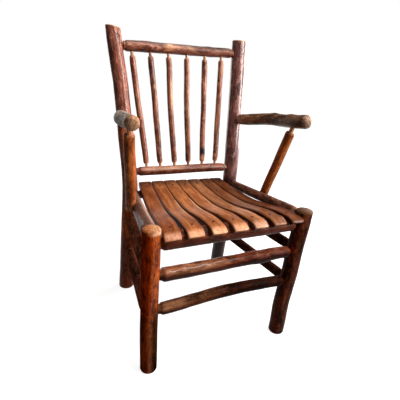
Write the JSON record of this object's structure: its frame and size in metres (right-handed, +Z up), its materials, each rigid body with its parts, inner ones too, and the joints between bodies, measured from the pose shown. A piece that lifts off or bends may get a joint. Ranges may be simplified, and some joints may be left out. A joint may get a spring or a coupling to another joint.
{
  "type": "armchair",
  "caption": "Rustic armchair of round hickory poles with a spindle back, bowed pole arms on slanted supports and a shaped slat seat, for one person to sit on.",
  "frame": {"origin": "on the floor, under the middle of the chair's box", "axes": "+Z up, -Y toward the front of the chair, +X toward the right as seen by someone facing it"},
  "size_m": [0.5568, 0.5118, 0.9368],
  "materials": {
    "varnish": "glossy red-brown varnish",
    "dark_varnish": "dark brown varnish over bark",
    "bark": "grey-brown varnished bark",
    "seat_varnish": "honey-brown varnish",
    "nail_steel": "darkened"
  },
  "bodies": {
    "root": {"back_spindle_1": "varnish", "back_spindle_2": "varnish", "back_spindle_3": "varnish", "back_spindle_4": "varnish", "back_spindle_5": "varnish", "back_spindle_6": "varnish", "crest_rail": "varnish", "front_seat_rail": "bark", "front_slat_nail_1": "nail_steel", "front_slat_nail_2": "nail_steel", "front_slat_nail_3": "nail_steel", "front_slat_nail_4": "nail_steel", "front_slat_nail_5": "nail_steel", "front_slat_nail_6": "nail_steel", "front_slat_nail_7": "nail_steel", "left_arm": "dark_varnish", "left_arm_support": "varnish", "left_arm_support_nail": "nail_steel", "left_front_post": "varnish", "left_lower_side_stretcher": "dark_varnish", "left_rear_post": "varnish", "left_seat_rail": "bark", "left_upper_side_stretcher": "dark_varnish", "lower_back_rail": "varnish", "lower_front_stretcher": "dark_varnish", "rear_seat_rail": "bark", "rear_slat_nail_1": "nail_steel", "rear_slat_nail_2": "nail_steel", "rear_slat_nail_3": "nail_steel", "rear_slat_nail_4": "nail_steel", "rear_slat_nail_5": "nail_steel", "rear_slat_nail_6": "nail_steel", "rear_slat_nail_7": "nail_steel", "rear_stretcher": "dark_varnish", "right_arm": "dark_varnish", "right_arm_support": "varnish", "right_arm_support_nail": "nail_steel", "right_front_post": "varnish", "right_lower_side_stretcher": "dark_varnish", "right_rear_post": "varnish", "right_seat_rail": "bark", "right_upper_side_stretcher": "dark_varnish", "seat_slat_1": "seat_varnish", "seat_slat_2": "seat_varnish", "seat_slat_3": "seat_varnish", "seat_slat_4": "seat_varnish", "seat_slat_5": "seat_varnish", "seat_slat_6": "seat_varnish", "seat_slat_7": "seat_varnish", "upper_front_stretcher": "dark_varnish"}
  },
  "joints": []
}
